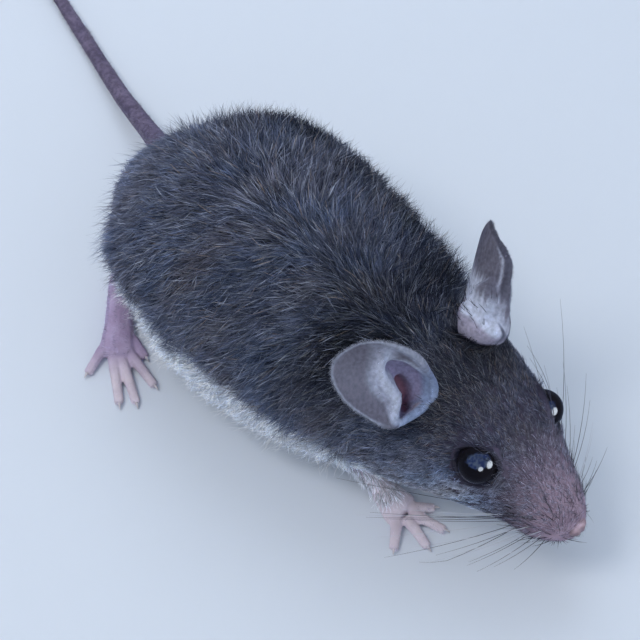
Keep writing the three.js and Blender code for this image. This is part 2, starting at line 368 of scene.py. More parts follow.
class EarFrame:
    def __init__(self, side):
        sign = sides[side]
        self.sign = sign
        self.root = Vector((sign * ear["root"][0], ear["root"][1], ear["root"][2]))
        self.axis = Vector((sign * 0.54, 0.5 + ear["lean"][side], 0.676)).normalized()
        face = Vector((sign * 0.6, -0.78, 0.12))
        face = (face - self.axis * face.dot(self.axis)).normalized()
        self.face = Matrix.Rotation(-sign * ear["turn"][side], 3, self.axis) @ face
        self.across = self.axis.cross(self.face)

    # along the ear from its root, wide towards its inner edge, proud of the hollow side; in the scene
    def place(self, along, wide, proud=0.0):
        rolled = -self.sign * wide / ear["roll"]
        radius = ear["roll"] - proud
        point = (self.root + self.axis * along + self.across * radius * math.sin(rolled)
                 + self.face * (ear["roll"] - radius * math.cos(rolled)))
        return at(*point)


# folds of the ear, as places along it and towards its inner edge
canalWay = [(5.5, -0.1), (4.4, -0.05), (3.1, -0.45), (1.9, -0.85), (0.85, -2.0), (1.05, -3.1), (1.0, -4.6)]
canalHalf = [0.75, 1.0, 1.2, 1.35, 1.25, 0.9, 0.6]
slitWay = [(2.6, -1.5), (1.5, -1.85), (0.7, -2.4), (0.3, -3.0), (0.2, -3.7), (-0.2, -4.3)]
ridgeWay = [(8.8, 2.0), (7.4, 0.5), (6.5, -1.3), (4.9, -2.45), (3.5, -3.25), (2.9, -4.4), (2.4, -5.6)]
rimWay = [(9.4, 2.0), (7.4, 2.75), (5.2, 2.95), (3.0, 2.3), (1.0, 1.3), (-0.7, 0.1), (-1.6, -1.4),
          (-0.9, -3.0), (0.2, -4.5), (1.2, -5.7)]
# how far the ear reaches outwards and inwards, from the buried root to the tip
earEdges = {
    "along": [-2.4, -1.6, -0.4, 0.3, 1.5, 3.1, 4.7, 6.5, 8.0, 9.6, 11.0, 12.0, 12.6, 12.8],
    "right": {
        "outer": [-1.6, -2.2, -3.3, -4.9, -6.5, -7.05, -7.15, -7.05, -6.8, -6.3, -5.4, -4.4, -3.3, -2.4],
        "inner": [-1.0, -0.3, 0.7, 1.2, 2.0, 2.85, 3.35, 3.55, 3.2, 2.5, 1.35, -0.3, -1.6, -2.4],
    },
    "left": {
        "outer": [-1.4, -1.8, -2.5, -3.3, -4.6, -6.0, -6.8, -7.0, -6.9, -6.5, -5.7, -4.9, -4.3, -3.7],
        "inner": [-0.6, 0.6, 2.4, 3.2, 3.7, 3.5, 2.8, 2.15, 2.15, 1.85, 0.4, -1.6, -3.0, -3.7],
    },
}


def earSpan(along, side):  # middle and half width of the ear at a height
    outer, inner = (np.interp(along, earEdges["along"], earEdges[side][edge]) for edge in ("outer", "inner"))
    return (outer + inner) / 2, np.maximum((inner - outer) / 2, 0.02)


def nearWay(along, wide, way):  # how far from a fold's line, and how far along it
    line = splinePoints(way, 40)
    gaps = np.hypot(along[:, None] - line[:, 0], wide[:, None] - line[:, 1])
    return gaps.min(axis=1), gaps.argmin(axis=1) / 39


def nearCanal(along, wide):  # 1 at the edge of the ear's opening, and how far along it
    away, share = nearWay(along, wide, canalWay)
    return away / np.interp(share, np.linspace(0, 1, len(canalHalf)), canalHalf), share


def earShape(side):
    local = EarFrame(side)
    sheet = bmesh.new()
    bmesh.ops.create_uvsphere(sheet, u_segments=96, v_segments=72, radius=1)
    reach = ear["length"] + ear["buried"]
    spots = np.array([v.co for v in sheet.verts])
    angle = np.arctan2(spots[:, 1], spots[:, 0])
    radial = np.minimum(1, np.hypot(spots[:, 0], spots[:, 1]))
    sine = radial * np.sin(angle)
    along = (1 + sine) * reach / 2 - ear["buried"]
    middle, half = earSpan(along, side)
    wide = middle + half * radial * np.cos(angle) / np.sqrt(np.maximum(1 - sine ** 2, 1e-4))
    layer = np.sign(spots[:, 2]) * np.sqrt(np.maximum(0, 1 - radial ** 16)) * ear["thickness"] / 2
    layer *= 1 + 0.8 * fade(along, 0, 6)
    toCanal, share = nearCanal(along, wide)
    toSlit = nearWay(along, wide, slitWay)[0]
    bowl = -1.5 * fade(toCanal, 0.75, 1.35) * (1 - 0.25 * ease(share, 0.75, 1))
    bowl -= 0.9 * fade(toSlit, 0.2, 0.9)
    bulge = -1.7 * fade(toCanal, 0.95, 2.0) - 1.0 * fade(toSlit, 0.4, 1.7)
    bowl = np.where(layer < 0, bulge, bowl)  # the back keeps clear of the bowl, so the walls stay thick
    if side == "left":
        bowl *= 1 - 0.9 * ease(-wide, 0.6, 2.6) * fade(along, 3, 5)
    lip = 0.3 * ease(radial, 0.9, 1.0) * ease(along, 3, 7)
    for v, a, w, h in zip(sheet.verts, along, wide, layer + bowl + lip):
        v.co = local.place(a, w, h)
    parts = [sheet]
    folds = {
        "ridge": {"way": ridgeWay, "proud": [0.0, 0.2, 0.4, 0.55, 0.65, 0.5, 0.2],
                  "radii": [0.25, 0.45, 0.75, 0.9, 0.95, 0.8, 0.5]},
        "rim": {"way": rimWay, "proud": [0.1, 0.25, 0.35, 0.35, 0.3, 0.3, 0.3, 0.3, 0.2, 0.0],
                "radii": [0.22, 0.30, 0.36, 0.38, 0.45, 0.6, 0.7, 0.7, 0.6, 0.4]},
    }
    for fold in folds.values():
        count = 30
        way = np.array(fold["way"])
        if side == "left":  # the folds end sooner, short of the edge turned to the back
            middle, half = earSpan(way[:, 0], side)
            way[:, 1] = np.clip(way[:, 1], middle - half + 0.5, middle + half - 0.3)
            way[:, 0] = np.clip(way[:, 0], 0.2 + 0.25 * way[:, 0], 8.2)
        route = splinePoints(np.column_stack([way, fold["proud"]]), count)
        thick = np.interp(np.linspace(0, 1, count), np.linspace(0, 1, len(fold["radii"])), fold["radii"])
        parts.append(rod([local.place(*p) for p in route], thick * mm))
    if side == "left":  # the root swells towards the head, on the side turned to the back
        swelling = splinePoints([(3.0, -2.7, -0.5, 0.8), (1.9, -1.5, -0.9, 1.3), (1.1, 0.1, -1.0, 1.6),
                                 (1.3, 1.6, -0.8, 1.5), (2.2, 2.5, -0.4, 1.0)], 16)
        parts.append(rod([local.place(*p[:3]) for p in swelling], swelling[:, 3] * mm, 14))
    shape = clay(joined(parts), ear["voxel"])
    smoothed(shape, shape.verts, 4)
    if side == "left":
        p = toLocal([v.co for v in shape.verts]) - np.array(local.root)
        base = [v for v, along in zip(shape.verts, p @ np.array(local.axis)) if along < 4.2]
        smoothed(shape, base, 16)
    return shape


print("skin")
skin = {"voxel": 0.5, "fine": 0.17, "tail": 0.28, "headY": -20.5, "kept": 0.71}
fleshNodes = ["rump", "belly", "chest", "neck", "head", "lower_jaw"]
legNodes = ["foreleg_right", "foreleg_left", "hindleg_right", "hindleg_left"]
footNodes = ["forefoot_right", "forefoot_left", "hindfoot_right", "hindfoot_left"]
tailNodes = ["tail_base", "tail_middle", "tail_end"]
eyes = {"radius": 2.42, "lidRing": 2.5, "lidHeight": 0.9, "hood": {"right": 0.1, "left": 1.2}}
eyeOut = {side: Vector((sign * 0.80, -0.36, 0.48)).normalized() for side, sign in sides.items()}


def vertexArrays(bm):
    bm.normal_update()
    places = np.array([v.co for v in bm.verts])
    normals = np.array([v.normal for v in bm.verts])
    return toLocal(places), normals


def setPlaces(bm, local):
    for v, place in zip(bm.verts, toScene(local)):
        v.co = place


def coatDepth(p, n):
    y, z = p.T[1:]
    depth = np.interp(y, [-46, -42, -38, -33, -28, -22, -14, 0, 16, 24, 29],
                      [0.05, 0.15, 0.3, 0.5, 0.75, 1.4, 2.1, 2.4, 2.1, 1.4, 1.0])
    depth *= 1 - 0.35 * ease(-n[:, 2], 0.2, 0.9)
    depth *= 0.6 + 0.4 * ease(z, 1, 4)
    for side in sides:
        away = np.linalg.norm(p - toLocal(eyeMiddle[side]), axis=1)
        depth *= 0.35 + 0.65 * ease(away, 3, 6)
    return depth


def eyeSocket(p, side):
    centre = toLocal(eyeMiddle[side])
    out = np.array(eyeOut[side])
    forward = np.array([0, -1, -0.25])
    forward = forward - out * (forward @ out)
    forward /= np.linalg.norm(forward)
    offset = p - centre
    height = offset @ out
    flat = offset - np.outer(height, out)
    radial = np.linalg.norm(flat, axis=1)
    toCorner = np.maximum(0, (flat @ forward) / np.maximum(radial, 1e-6)) ** 10
    toBack = np.maximum(0, -(flat @ forward) / np.maximum(radial, 1e-6)) ** 14
    near = (height > -1.6) & (radial < 4.6)
    ring = eyes["lidRing"] + 0.55 * toCorner + 0.3 * toBack
    radius = eyes["radius"]
    under = np.sqrt(np.maximum(0.01, radius ** 2 - np.minimum(radial, radius - 0.02) ** 2)) - 0.45
    crest = eyes["lidHeight"] * hump(radial, ring, 0.42)
    outer = height + (crest - 0.1) * fade(radial, ring + 0.1, ring + 1.6) * 0.55
    upper = np.array([-0.55 * sides[side], 0.25, 0.8])
    upper = upper - out * (upper @ out)
    toUpper = np.maximum(0, (flat @ upper) / np.maximum(radial, 1e-6) / np.linalg.norm(upper)) ** 1.5
    level = eyes["lidHeight"] * 0.62 + eyes["hood"][side] * toUpper
    away = ease(radial, ring + 0.1, ring + 1.1)
    lid = np.maximum(outer, level * (1 - away) + outer * away)
    inside = fade(radial, ring - 0.42, ring - 0.12)
    target = np.where(radial > ring, lid, level + 0.1 * (1 - np.abs(radial - ring) / 0.4))
    target = target * (1 - inside) + np.minimum(under, level) * inside
    moved = p + np.outer(np.where(near, target - height, 0), out)
    return moved


def snoutForms(p, n):
    x, y, z = p.T
    for sign in (-1, 1):
        pad = np.exp(-(((x - sign * 3.1) / 1.7) ** 2 + ((y + 41) / 2.4) ** 2 + ((z - 9) / 1.7) ** 2))
        p = p + n * (0.4 * pad)[:, None]
        brow = np.exp(-(((x - sign * 4.4) / 1.3) ** 2 + ((y + 35) / 2.2) ** 2 + ((z - 20.3) / 1.2) ** 2))
        p = p + n * (0.25 * brow)[:, None]
    cleft = hump(x, 0, 0.28) * fade(z, 8.4, 9.4) * fade(y, -44.6, -43.2)
    mouthLine = 7.15 + 0.05 * (y + 40) + 0.03 * x * x
    mouth = hump(z, mouthLine, 0.33) * ease(-y, 36.0, 38.0)
    return p - n * (0.5 * cleft + 0.45 * mouth)[:, None]


def bodyClay():
    parts = [copyOf(name, 0.22) for name in fleshNodes + legNodes]
    for side in sides:
        centre = toLocal(eyeMiddle[side]) - np.array(eyeOut[side]) * 1.2
        parts.append(ball(tuple(centre), (3.0, 3.0, 3.0)))
    parts.append(ball((0, -44.3, 10.1), (1.9, 1.5, 1.7)))  # under the nose pad
    bm = clay(joined(parts), skin["voxel"])
    smoothed(bm, bm.verts, 6)
    trunk = [v for v in bm.verts if v.co.y > at(0, -24, 0).y]
    smoothed(bm, trunk, 26)
    headEdges = [e for e in bm.edges if max(e.verts[0].co.y, e.verts[1].co.y) < at(0, skin["headY"], 0).y]
    bmesh.ops.subdivide_edges(bm, edges=headEdges, cuts=1, use_grid_fill=True)
    bmesh.ops.triangulate(bm, faces=[f for f in bm.faces if len(f.verts) > 4])
    head = [v for v in bm.verts if v.co.y < at(0, skin["headY"] + 1, 0).y]
    smoothed(bm, head, 5)
    p, n = vertexArrays(bm)
    depth = coatDepth(p, n) + 0.22
    setPlaces(bm, p - n * depth[:, None])
    smoothed(bm, bm.verts, 3)
    p, n = vertexArrays(bm)
    p = snoutForms(p, n)
    for side in sides:
        p = eyeSocket(p, side)
    setPlaces(bm, p)
    lidVerts = [v for v in bm.verts if min((v.co - eyeMiddle[side]).length for side in sides) < 3.6 * mm]
    smoothed(bm, lidVerts, 1)
    return bm


def footClay():
    parts = [copyOf(name, 0.12) for name in footNodes]
    links = {
        "right fore": [(-9.4, -16.5, 5.4), (-9.2, -20.2, 4.1), (-9.0, -23.2, 2.4)],
        "left fore": [(9.2, -15.2, 5.4), (9.2, -18.8, 4.1), (9.2, -21.8, 2.4)],
        "right hind": [(-10.6, 15.8, 6.6), (-10.2, 19.4, 4.8), (-10.1, 21.0, 2.6)],
        "left hind": [(7.9, 15.4, 6.6), (8.0, 18.6, 4.8), (8.0, 20.0, 2.6)],
    }
    for name, route in links.items():
        thick = (1.5, 1.2, 1.25) if "fore" in name else (2.0, 1.55, 1.2)
        points = splinePoints(route, 12)
        radii = np.interp(np.linspace(0, 2, 12), [0, 1, 2], thick) * mm
        parts.append(rod([at(*p) for p in points], radii, 10))
    bm = clay(joined(parts), skin["fine"])
    smoothed(bm, bm.verts, 5)
    return bm


def tailClay():
    parts = [copyOf(name, 0.06) for name in tailNodes]
    root = [at(1.6, 20.5, 9.0), at(3.4, 26.4, 8.6), at(4.6, 30.2, 7.2)]
    parts.append(rod(root, [2.4 * mm, 1.9 * mm, 1.2 * mm], 12))
    bm = clay(joined(parts), skin["tail"])
    smoothed(bm, bm.verts, 12)
    return bm


def united(base, additions):
    whole = newObject("whole", toMesh(base, "whole"))
    for bm in additions:
        extra = newObject("extra", toMesh(bm, "extra"))
        unite = whole.modifiers.new("unite", "BOOLEAN")
        unite.operation = "UNION"
        unite.solver = "MANIFOLD"
        unite.object = extra
        mesh = evaluated(whole)
        bpy.data.objects.remove(whole)
        bpy.data.objects.remove(extra)
        whole = newObject("whole", mesh)
    return whole


def buildSkin():
    body = bodyClay()
    feet = footClay()
    tail = tailClay()
    ears = {side: earShape(side) for side in sides}
    trees = {"ear": [BVHTree.FromBMesh(bm) for bm in ears.values()], "foot": [BVHTree.FromBMesh(feet)],
             "tail": [BVHTree.FromBMesh(tail)], "body": [BVHTree.FromBMesh(body)]}
    whole = united(body, [feet, tail] + list(ears.values()))
    bm = bmesh.new()
    bm.from_mesh(whole.data)
    bpy.data.objects.remove(whole)
    bmesh.ops.remove_doubles(bm, verts=bm.verts, dist=0.01 * mm)
    bmesh.ops.dissolve_degenerate(bm, edges=bm.edges, dist=0.01 * mm)
    # blend the joins
    for name in ("foot", "tail", "ear"):
        seam = []
        for v in bm.verts:
            near = min(tree.find_nearest(v.co)[3] for tree in trees[name])
            if near < 0.45 * mm and trees["body"][0].find_nearest(v.co)[3] < 0.45 * mm:
                seam.append(v)
        smoothed(bm, seam, 6)
    zones = {}
    for name in ("ear", "foot", "tail"):
        gaps = np.array([min(tree.find_nearest(v.co)[3] for tree in trees[name]) for v in bm.verts])
        zones[name] = (gaps < 0.12 * mm).astype(float)
    p, n = vertexArrays(bm)
    low = (p - np.array(ear["root"])) @ np.array(EarFrame("left").axis)  # fur covers the foot of the left ear
    zones["ear"] *= np.where(p[:, 0] > 0, ease(low, -0.3, 0.3), 1)
    piece = newObject("skin", toMesh(bm, "skin"))
    return piece, p, n, zones


def paleness(p):  # 1 on the white underside, 0 on the dark coat
    y, z = p.T[1:]
    line = np.interp(y, [-46, -42, -38, -32, -26, -20, -12, 0, 8, 14, 20, 27],
                     [8.2, 8.3, 8.3, 8.3, 8.8, 11.4, 14.4, 15.0, 14.7, 13.8, 11.4, 7.6])
    wander = 1.5 * ripple(p, 8, 3) + 1.1 * ripple(p, 3, 4)
    line = line + wander * ease(y, -27, -20) + 0.6 * ripple(p, 1.3, 5)
    return fade(z, line - 0.9, line + 0.9)


def bareness(p):  # 1 where pink skin shows through
    return ease(-p[:, 1], 36, 43.5)


skinPiece, skinPoints, skinNormals, zones = buildSkin()
print("skin has", len(skinPiece.data.polygons), "faces")


def setAttribute(mesh, name, values):
    values = np.asarray(values, np.float32)
    if values.ndim == 1:
        mesh.attributes.new(name, "FLOAT", "POINT").data.foreach_set("value", values)
    else:
        rgba = np.ones((len(values), 4), np.float32)
        rgba[:, :3] = values
        mesh.attributes.new(name, "FLOAT_COLOR", "POINT").data.foreach_set("color", rgba.ravel())


def eyeRim(p):
    rim = np.zeros(len(p))
    for side in sides:
        offset = p - toLocal(eyeMiddle[side])
        height = offset @ np.array(eyeOut[side])
        radial = np.sqrt(np.maximum(0, (offset ** 2).sum(1) - height ** 2))
        rim = np.maximum(rim, fade(radial, 2.65, 3.0) * (height > -1.5))
    return rim


hind = {"right": {"heel": (-9.9, 21.9), "heading": 0.785}, "left": {"heel": (7.8, 21), "heading": 0.6}}


def toeness(p):  # 1 on the pale forefeet and towards the tips of the hind toes
    x, y = p.T[:2]
    fore = fade(y, -22, -19)
    hindTip = 0
    for side, sign in sides.items():
        (heelX, heelY), heading = hind[side]["heel"], hind[side]["heading"]
        reach = (x - heelX) * sign * math.sin(heading) - (y - heelY) * math.cos(heading)
        hindTip = hindTip + ease(reach, 10, 16) * (x * sign > 0) * (y > 0)
    return np.clip(fore + hindTip, 0, 1)


# under: the dark grey skin beneath the coat, darkened further as painted shade showing through the gaps
# between the locks
skinTints = {
    "under": ((0.030, 0.026, 0.036), (0.060, 0.046, 0.064)), "white": ((0.42, 0.40, 0.44), (0.58, 0.56, 0.6)),
    "pink": ((0.25, 0.18, 0.235), (0.42, 0.31, 0.37)), "foot": ((0.33, 0.245, 0.37), (0.46, 0.37, 0.53)),
    "toes": ((0.56, 0.48, 0.54), (0.70, 0.62, 0.67)), "tail": ((0.094, 0.076, 0.117), (0.148, 0.121, 0.176)),
}


def skinMaterial():
    material, tree = newMaterial("skin")
    blotch = noise(tree, 420, 4)
    tones = {name: blotched(tree, blotch, *pair) for name, pair in skinTints.items()}
    rings = ramp(tree, noise(tree, 1500), [(0.35, grey(0.75)), (0.65, grey(1.25))])
    felt = ramp(tree, noise(tree, 2100, 4), [(0.32, grey(0.78)), (0.68, grey(1.22))])
    layers = {
        "pale": tones["white"], "bare": tones["pink"],
        "foot": mixed(tree, attribute(tree, "toe")["Fac"], tones["foot"], tones["toes"]),
        "tail": mixed(tree, 1.0, tones["tail"], rings, "MULTIPLY"),
        "ear": mixed(tree, 1.0, attribute(tree, "earTint")["Color"], felt, "MULTIPLY"),
        "lid": (0.012, 0.010, 0.013, 1),
    }
    colour = tones["under"]
    for name, layer in layers.items():
        colour = mixed(tree, attribute(tree, name)["Fac"], colour, layer)
    bump = node(tree, "Bump", {"Height": noise(tree, 3200, 3), "Strength": 0.35, "Distance": 0.00012})
    surface(tree, colour, 0.62, 0.08, Normal=bump.outputs["Normal"])
    return material


earFrames = {side: EarFrame(side) for side in sides}


def earLocal(p, side):
    local = earFrames[side]
    offset = p - np.array(local.root)
    along = offset @ np.array(local.axis)
    toward = offset @ np.array(local.face)
    wide = offset @ np.array(local.across)
    rolled = np.arctan2(wide, ear["roll"] - toward)
    radius = np.hypot(wide, ear["roll"] - toward)
    return along, -local.sign * rolled * ear["roll"], ear["roll"] - radius


def eachEar(p, n):  # hollow is above 0 on the hollow side
    for side, sign in sides.items():
        mine = p[:, 0] * sign > 0
        yield mine, side, *earLocal(p[mine], side), n[mine] @ np.array(earFrames[side].face)


def earHeight(along):  # -1 at the buried root, 1 at the tip
    return 2 * (along + ear["buried"]) / (ear["length"] + ear["buried"]) - 1


def earEdge(along, wide, side):  # 0 in the middle of the ear, 1 at its edge
    sine = earHeight(along)
    middle, half = earSpan(along, side)
    return np.hypot(sine, (wide - middle) / half * np.sqrt(np.maximum(1 - sine ** 2, 0)))


def pastCrease(along, wide):  # millimetres up from the crease behind the ear
    return along - np.interp(wide, [-2.6, 0.3, 2.3], [3.0, 2.4, 1.2])


def earTint(p, n):
    felt, pale, mauve, bloodInShade = (np.array(earTints[name]) for name in ("felt", "pale", "mauve", "bloodInShade"))
    tint = np.zeros((len(p), 3))
    for mine, side, along, wide, proud, hollow in eachEar(p, n):
        toRidge, ridgeShare = nearWay(along, wide, ridgeWay)
        fading = np.interp(ridgeShare, [0, 0.45, 0.75, 1], [2.2, 2.4, 1.5, 1.1])
        toRim, rimShare = nearWay(along, wide, rimWay)
        toCanal = nearCanal(along, wide)[0]
        white = np.maximum(fade(toRidge, 0.4, fading) * (0.3 + 0.7 * fade(along, 6.5, 9)),
                           fade(toRim, 0.3, 1.0) * (0.55 + 0.45 * ease(rimShare, 0.4, 0.6))
                           * fade(along, 7.5, 9.5))
        white = np.maximum(white, 0.85 * fade(toCanal, 1.3, 2.1) * fade(along, 5.5, 7))
        inner = felt + (pale - felt) * white[:, None]
        # painted shade low in the hollow of the ear, darkest and bluest towards the root
        inner = inner * (1 - np.array([0.50, 0.42, 0.30]) * fade(along, 0.5, 3.4)[:, None])
        deep = (fade(toCanal, 0.85, 1.2) * fade(proud, -0.1, 0.5))[:, None]
        # painted shadow: a dark red line along the slit under the overhanging fold, laid over the mauve of
        # the canal
        dark = fade(nearWay(along, wide, slitWay)[0], 0.1, 1.0)[:, None]
        dark = dark * fade(proud, -0.7, 0.0)[:, None]
        deep = np.maximum(deep, dark)
        inner = inner * (1 - deep) + (mauve * (1 - dark) + bloodInShade * dark) * deep
        edge = ease(earEdge(along, wide, side), 0.91, 0.97)[:, None] * ease(along, 2.0, 5.0)[:, None]
        inner = inner + (0.62 * pale - inner) * edge * 0.8
        streak = ripple(np.stack([wide, along * 0.18, along * 0], axis=1), 0.8, 12)
        # the pale root runs up the outer side
        top = np.interp(wide, [-6, -3, -1.3, 0, 1.5, 2.4, 2.9], [6.6, 6.4, 5.9, 4.9, 4.1, 3.4, 2.2])
        low = fade(along + 0.9 * streak - top, -1.3, 1.6)
        crease = ease(pastCrease(along, wide), -0.3, 0.3)[:, None]
        root = pale * (1.08 * crease + np.array([0.62, 0.54, 0.56]) * (1 - crease))
        root = root * (1 + 0.1 * streak)[:, None]
        behind = felt * (1 + 0.16 * streak)[:, None]
        behind = behind + (root - behind) * low[:, None]
        middle, half = earSpan(along, side)
        fromEdge = middle + half - wide  # the turned front edge: a pale line, dark beyond it
        line = hump(fromEdge, 1.15, 0.16) * ease(along, 5.5, 7.5) * fade(along, 10, 11)
        beyond = fade(fromEdge, 0.8, 1.1) * ease(along, 4.5, 6.5)
        behind = behind + (pale - behind) * (0.75 * line)[:, None]
        behind = behind * (1 - 0.45 * beyond)[:, None]
        hollow = ease(hollow, -0.25, 0.15)[:, None]
        tint[mine] = inner * hollow + behind * (1 - hollow)
    return tint


skinMarks = {
    **zones, "pale": paleness(skinPoints), "bare": bareness(skinPoints), "lid": eyeRim(skinPoints),
    "toe": toeness(skinPoints), "earTint": earTint(skinPoints, skinNormals),
}
for name, values in skinMarks.items():
    setAttribute(skinPiece.data, name, values)
skinPiece.data.materials.append(skinMaterial())
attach(skinPiece, "root")
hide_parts(*fleshNodes, *legNodes, *footNodes, *tailNodes, "ear_right", "ear_left")

print("coat")
coat = {
    "pieces": 9, "patch": 0.003, "unwrapFaces": 9000,
    # lightness from root to tip: the hair's own pale band near the tip, and a dark root that is partly
    # painted shade between the locks
    "rootToTip": [(0.0, 0.16), (0.45, 0.52), (0.7, 1.0), (0.88, 1.5), (1.0, 1.0)],
    # the brow tone is painted shadow over the fur above the eyes
    "dark": (0.057, 0.065, 0.097), "crown": (0.015, 0.0135, 0.0145), "brow": (0.044, 0.040, 0.064),
    "bridge": (0.075, 0.055, 0.056), "silver": (0.28, 0.31, 0.39), "tan": (0.25, 0.20, 0.17),
    "white": (0.64, 0.70, 0.81), "muzzle": (0.29, 0.275, 0.36),
}


def unwrapOfSkin():  # a light copy of the skin, unwrapped by its own shape
    light = skinPiece.copy()
    light.data = skinPiece.data.copy()
    light.parent = None
    bpy.context.scene.collection.objects.link(light)
    thin = light.modifiers.new("thin", "DECIMATE")
    thin.ratio = coat["unwrapFaces"] / max(1, len(light.data.polygons))
    mesh = evaluated(light)
    bpy.data.objects.remove(light)
    flat = newObject("flat", mesh)
    bpy.context.view_layer.objects.active = flat
    bpy.ops.object.select_all(action="DESELECT")
    flat.select_set(True)
    bpy.ops.object.mode_set(mode="EDIT")
    bpy.ops.mesh.select_all(action="SELECT")
    bpy.ops.uv.smart_project(angle_limit=math.radians(66), island_margin=0.004)
    bpy.ops.object.mode_set(mode="OBJECT")
    mesh.calc_loop_triangles()
    corners = np.array([t.vertices for t in mesh.loop_triangles])
    loops = np.array([t.loops for t in mesh.loop_triangles])
    places = np.array([v.co for v in mesh.vertices])
    uv = np.array([u.vector for u in mesh.uv_layers[0].uv])
    bpy.data.objects.remove(flat)
    return places, corners, uv[loops]


flatPlaces, flatCorners, flatUv = unwrapOfSkin()
flatTree = BVHTree.FromPolygons([Vector(p) for p in flatPlaces], flatCorners.tolist())


def uvAt(points):  # scene points to places on the unwrap
    uv = np.empty((len(points), 2))
    for i, point in enumerate(points):
        place, _, face, _ = flatTree.find_nearest(Vector(point))
        a, b, c = flatPlaces[flatCorners[face]]
        ab, ac, ap = b - a, c - a, np.array(place) - a
        dd, de, ee = ab @ ab, ab @ ac, ac @ ac
        pd, pe = ap @ ab, ap @ ac
        bottom = max(dd * ee - de * de, 1e-20)
        v = (ee * pd - de * pe) / bottom
        w = (dd * pe - de * pd) / bottom
        uv[i] = flatUv[face][0] * (1 - v - w) + flatUv[face][1] * v + flatUv[face][2] * w
    return np.clip(uv, 0.002, 0.996)


skinPiece.data.calc_loop_triangles()
skinTriangles = np.array([t.vertices for t in skinPiece.data.loop_triangles])


def rootsOn(density):  # scattered roots, density per square millimetre at each skin vertex
    a, b, c = (skinPoints[skinTriangles[:, i]] for i in range(3))
    areas = np.linalg.norm(np.cross(b - a, c - a), axis=1) / 2
    wanted = areas * density[skinTriangles].mean(axis=1)
    counts = np.floor(wanted + rng.random(len(wanted))).astype(int)
    picked = np.repeat(np.arange(len(skinTriangles)), counts)
    u, v = rng.random(len(picked)), rng.random(len(picked))
    swap = u + v > 1
    u[swap], v[swap] = 1 - u[swap], 1 - v[swap]
    weights = np.stack([1 - u - v, u, v], axis=1)
    corners = skinTriangles[picked]
    points = (skinPoints[corners] * weights[:, :, None]).sum(axis=1)
    normals = unit((skinNormals[corners] * weights[:, :, None]).sum(axis=1))
    return points, normals, corners, weights


def lie(p, n):  # the way the coat lies, a unit vector along the skin
    x, y, z = p.T
    spine = np.interp(y, [-46, -20, 0, 11, 27], [0, -0.5, -1.4, -0.8, 2.2])
    aside = np.tanh((x - spine) / 2.6)
    trunk = ease(y, -27, -15) * (1 - 0.7 * ease(y, 17, 26))
    across = 0.18 + (0.62 + 0.45 * ease(x - spine, -1, 3)) * trunk
    way = np.stack([aside * across, np.ones(len(p)),
                    -0.45 - 0.55 * trunk - 0.6 * ease(y, 18, 26)], axis=1)
    fore = fade(z, 6, 10) * fade(y, -14, -9) * ease(y, -26, -22) * ease(np.abs(x), 6.5, 8.5)
    way = way * (1 - fore)[:, None] + np.array([0, -0.5, -1.0]) * fore[:, None]
    for side in sides:  # the face coat parts round the eyes
        offset = p - toLocal(eyeMiddle[side])
        near = fade(np.linalg.norm(offset, axis=1), 2.6, 5.0)
        way = way + unit(offset) * (0.5 * near)[:, None]
    way = unit(way - n * (way * n).sum(axis=1, keepdims=True))
    swirl = (0.32 * ripple(p, 10, 5) + 0.25 * ripple(p, 4.2, 6)) * (0.7 + 0.3 * trunk)
    across = np.cross(n, way)
    return unit(way * np.cos(swirl)[:, None] + across * np.sin(swirl)[:, None])


# blades that rise at rootLift, bend over to tipLift, and end in a point; arrays in millimetres
def grownTufts(roots, normals, ways, length, width, rootLift, tipLift, steps, sideways):
    count = len(roots)
    across = np.cross(normals, ways)
    roll = rng.normal(0, 0.45, count)[:, None]
    flat = across * np.cos(roll) + normals * np.sin(roll)
    shares = np.linspace(0, 1, steps + 1)
    rows = []
    point = roots - normals * 0.12
    for i, share in enumerate(shares):
        if i:
            lift = rootLift + (tipLift - rootLift) * (shares[i - 1] + share) / 2
            heading = (ways * np.cos(lift)[:, None] + normals * np.sin(lift)[:, None]
                       + across * (sideways * (share + 0.1))[:, None])
            point = point + unit(heading) * (length * (share - shares[i - 1]))[:, None]
        if i < steps:
            half = width * (0.42, 0.5, 0.4, 0.28)[i]
            rows += [point - flat * half[:, None], point + flat * half[:, None]]
        else:
            rows.append(point)
    rows = np.stack(rows, axis=1)
    rows[:, :, 2] = np.maximum(rows[:, :, 2], 0.08)  # nothing goes through the floor
    return rows, shares


